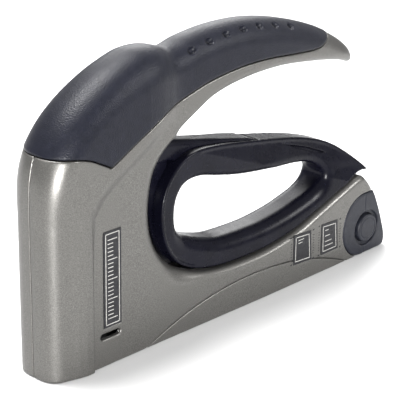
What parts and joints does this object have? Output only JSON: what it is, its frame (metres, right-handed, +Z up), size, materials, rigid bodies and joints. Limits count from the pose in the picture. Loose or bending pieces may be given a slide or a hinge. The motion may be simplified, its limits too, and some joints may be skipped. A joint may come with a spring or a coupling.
{
  "type": "staple gun",
  "caption": "Hand staple gun with a round nose column, a rubber covered horn, a closed black finger ring that is squeezed up to the horn, and a pull-out magazine with side buttons.",
  "frame": {"origin": "centre of the base's box, on the flat underside", "axes": "+X to the rear (magazine end), -Y to the left side, +Z up from the base to the horn"},
  "size_m": [0.1976, 0.0276, 0.12],
  "materials": {
    "silver_paint": "fine speckled satin silver paint",
    "grip_rubber": "soft matt rubber with a fine grain",
    "bright_steel": "bright rolled steel",
    "zinc": "cast zinc, matt",
    "bumper_rubber": "matt rubber",
    "staple_wire": "bright galvanised wire",
    "spring_steel": "drawn spring wire",
    "dark_screws": "blackened steel",
    "dark_label": "dark print, satin",
    "gloss_black": "smooth black plastic, semi gloss",
    "charcoal_plastic": "fine grained charcoal plastic"
  },
  "bodies": {
    "housing": {"left_shell": "silver_paint", "right_shell": "silver_paint", "rubber_grip": "grip_rubber", "belly_cover": "silver_paint", "nose_plate": "bright_steel", "driver_guide": "zinc", "shock_bumper": "bumper_rubber", "spring_cap": "bright_steel", "staple_channel": "bright_steel", "staple_strip": "staple_wire", "latch_bar": "bright_steel", "trigger_pin": "bright_steel", "rocker_pin": "bright_steel", "return_spring": "spring_steel", "housing_screws": "dark_screws", "badges": "dark_label", "size_labels": "dark_label", "main_spring": "spring_steel"},
    "trigger": {"trigger_plate": "bright_steel", "trigger_frame": "gloss_black", "finger_ring": "gloss_black"},
    "lifting_rocker": {"rocker": "bright_steel", "rocker_roller": "bright_steel"},
    "striker": {"plunger": "bright_steel", "driver_blade": "bright_steel"},
    "magazine": {"staple_rail": "bright_steel", "rear_cap_left": "charcoal_plastic", "rear_cap_right": "charcoal_plastic", "pusher_spring": "spring_steel", "button_spring": "spring_steel"},
    "staple_pusher": {"pusher": "charcoal_plastic"},
    "left_release": {"left_button": "charcoal_plastic"},
    "right_release": {"right_button": "charcoal_plastic"}
  },
  "joints": [
    {"name": "trigger_hinge", "type": "hinge", "parent": "housing", "child": "trigger", "pos_m": [-0.06, 0, 0.071], "axis": [0, -1, 0], "range_deg": [0, 15], "stiffness_Nm_per_rad": 0.6, "springref_deg": -14.32},
    {"name": "rocker_hinge", "type": "hinge", "parent": "housing", "child": "lifting_rocker", "pos_m": [-0.068, 0, 0.038], "axis": [0, 1, 0], "range_deg": [0, 45.5]},
    {"name": "plunger_slide", "type": "slide", "parent": "housing", "child": "striker", "axis": [0, 0, 1], "range_m": [0, 0.0115], "stiffness_N_per_m": 2500, "springref_m": -0.004, "deforming": ["main_spring"]},
    {"name": "magazine_slide", "type": "slide", "parent": "housing", "child": "magazine", "axis": [1, 0, 0], "range_m": [0, 0.07]},
    {"name": "pusher_slide", "type": "slide", "parent": "magazine", "child": "staple_pusher", "axis": [1, 0, 0], "range_m": [0, 0.04], "stiffness_N_per_m": 60, "springref_m": -0.03},
    {"name": "left_button_slide", "type": "slide", "parent": "magazine", "child": "left_release", "axis": [0, 1, 0], "range_m": [0, 0.002], "stiffness_N_per_m": 800, "springref_m": -0.001},
    {"name": "right_button_slide", "type": "slide", "parent": "magazine", "child": "right_release", "axis": [0, -1, 0], "range_m": [0, 0.002], "stiffness_N_per_m": 800, "springref_m": -0.001}
  ],
  "couplings": [
    {"joint": "rocker_hinge", "follows": "trigger_hinge", "ratio": 3},
    {"joint": "plunger_slide", "follows": "trigger_hinge", "m_per_rad": 0.0435}
  ]
}
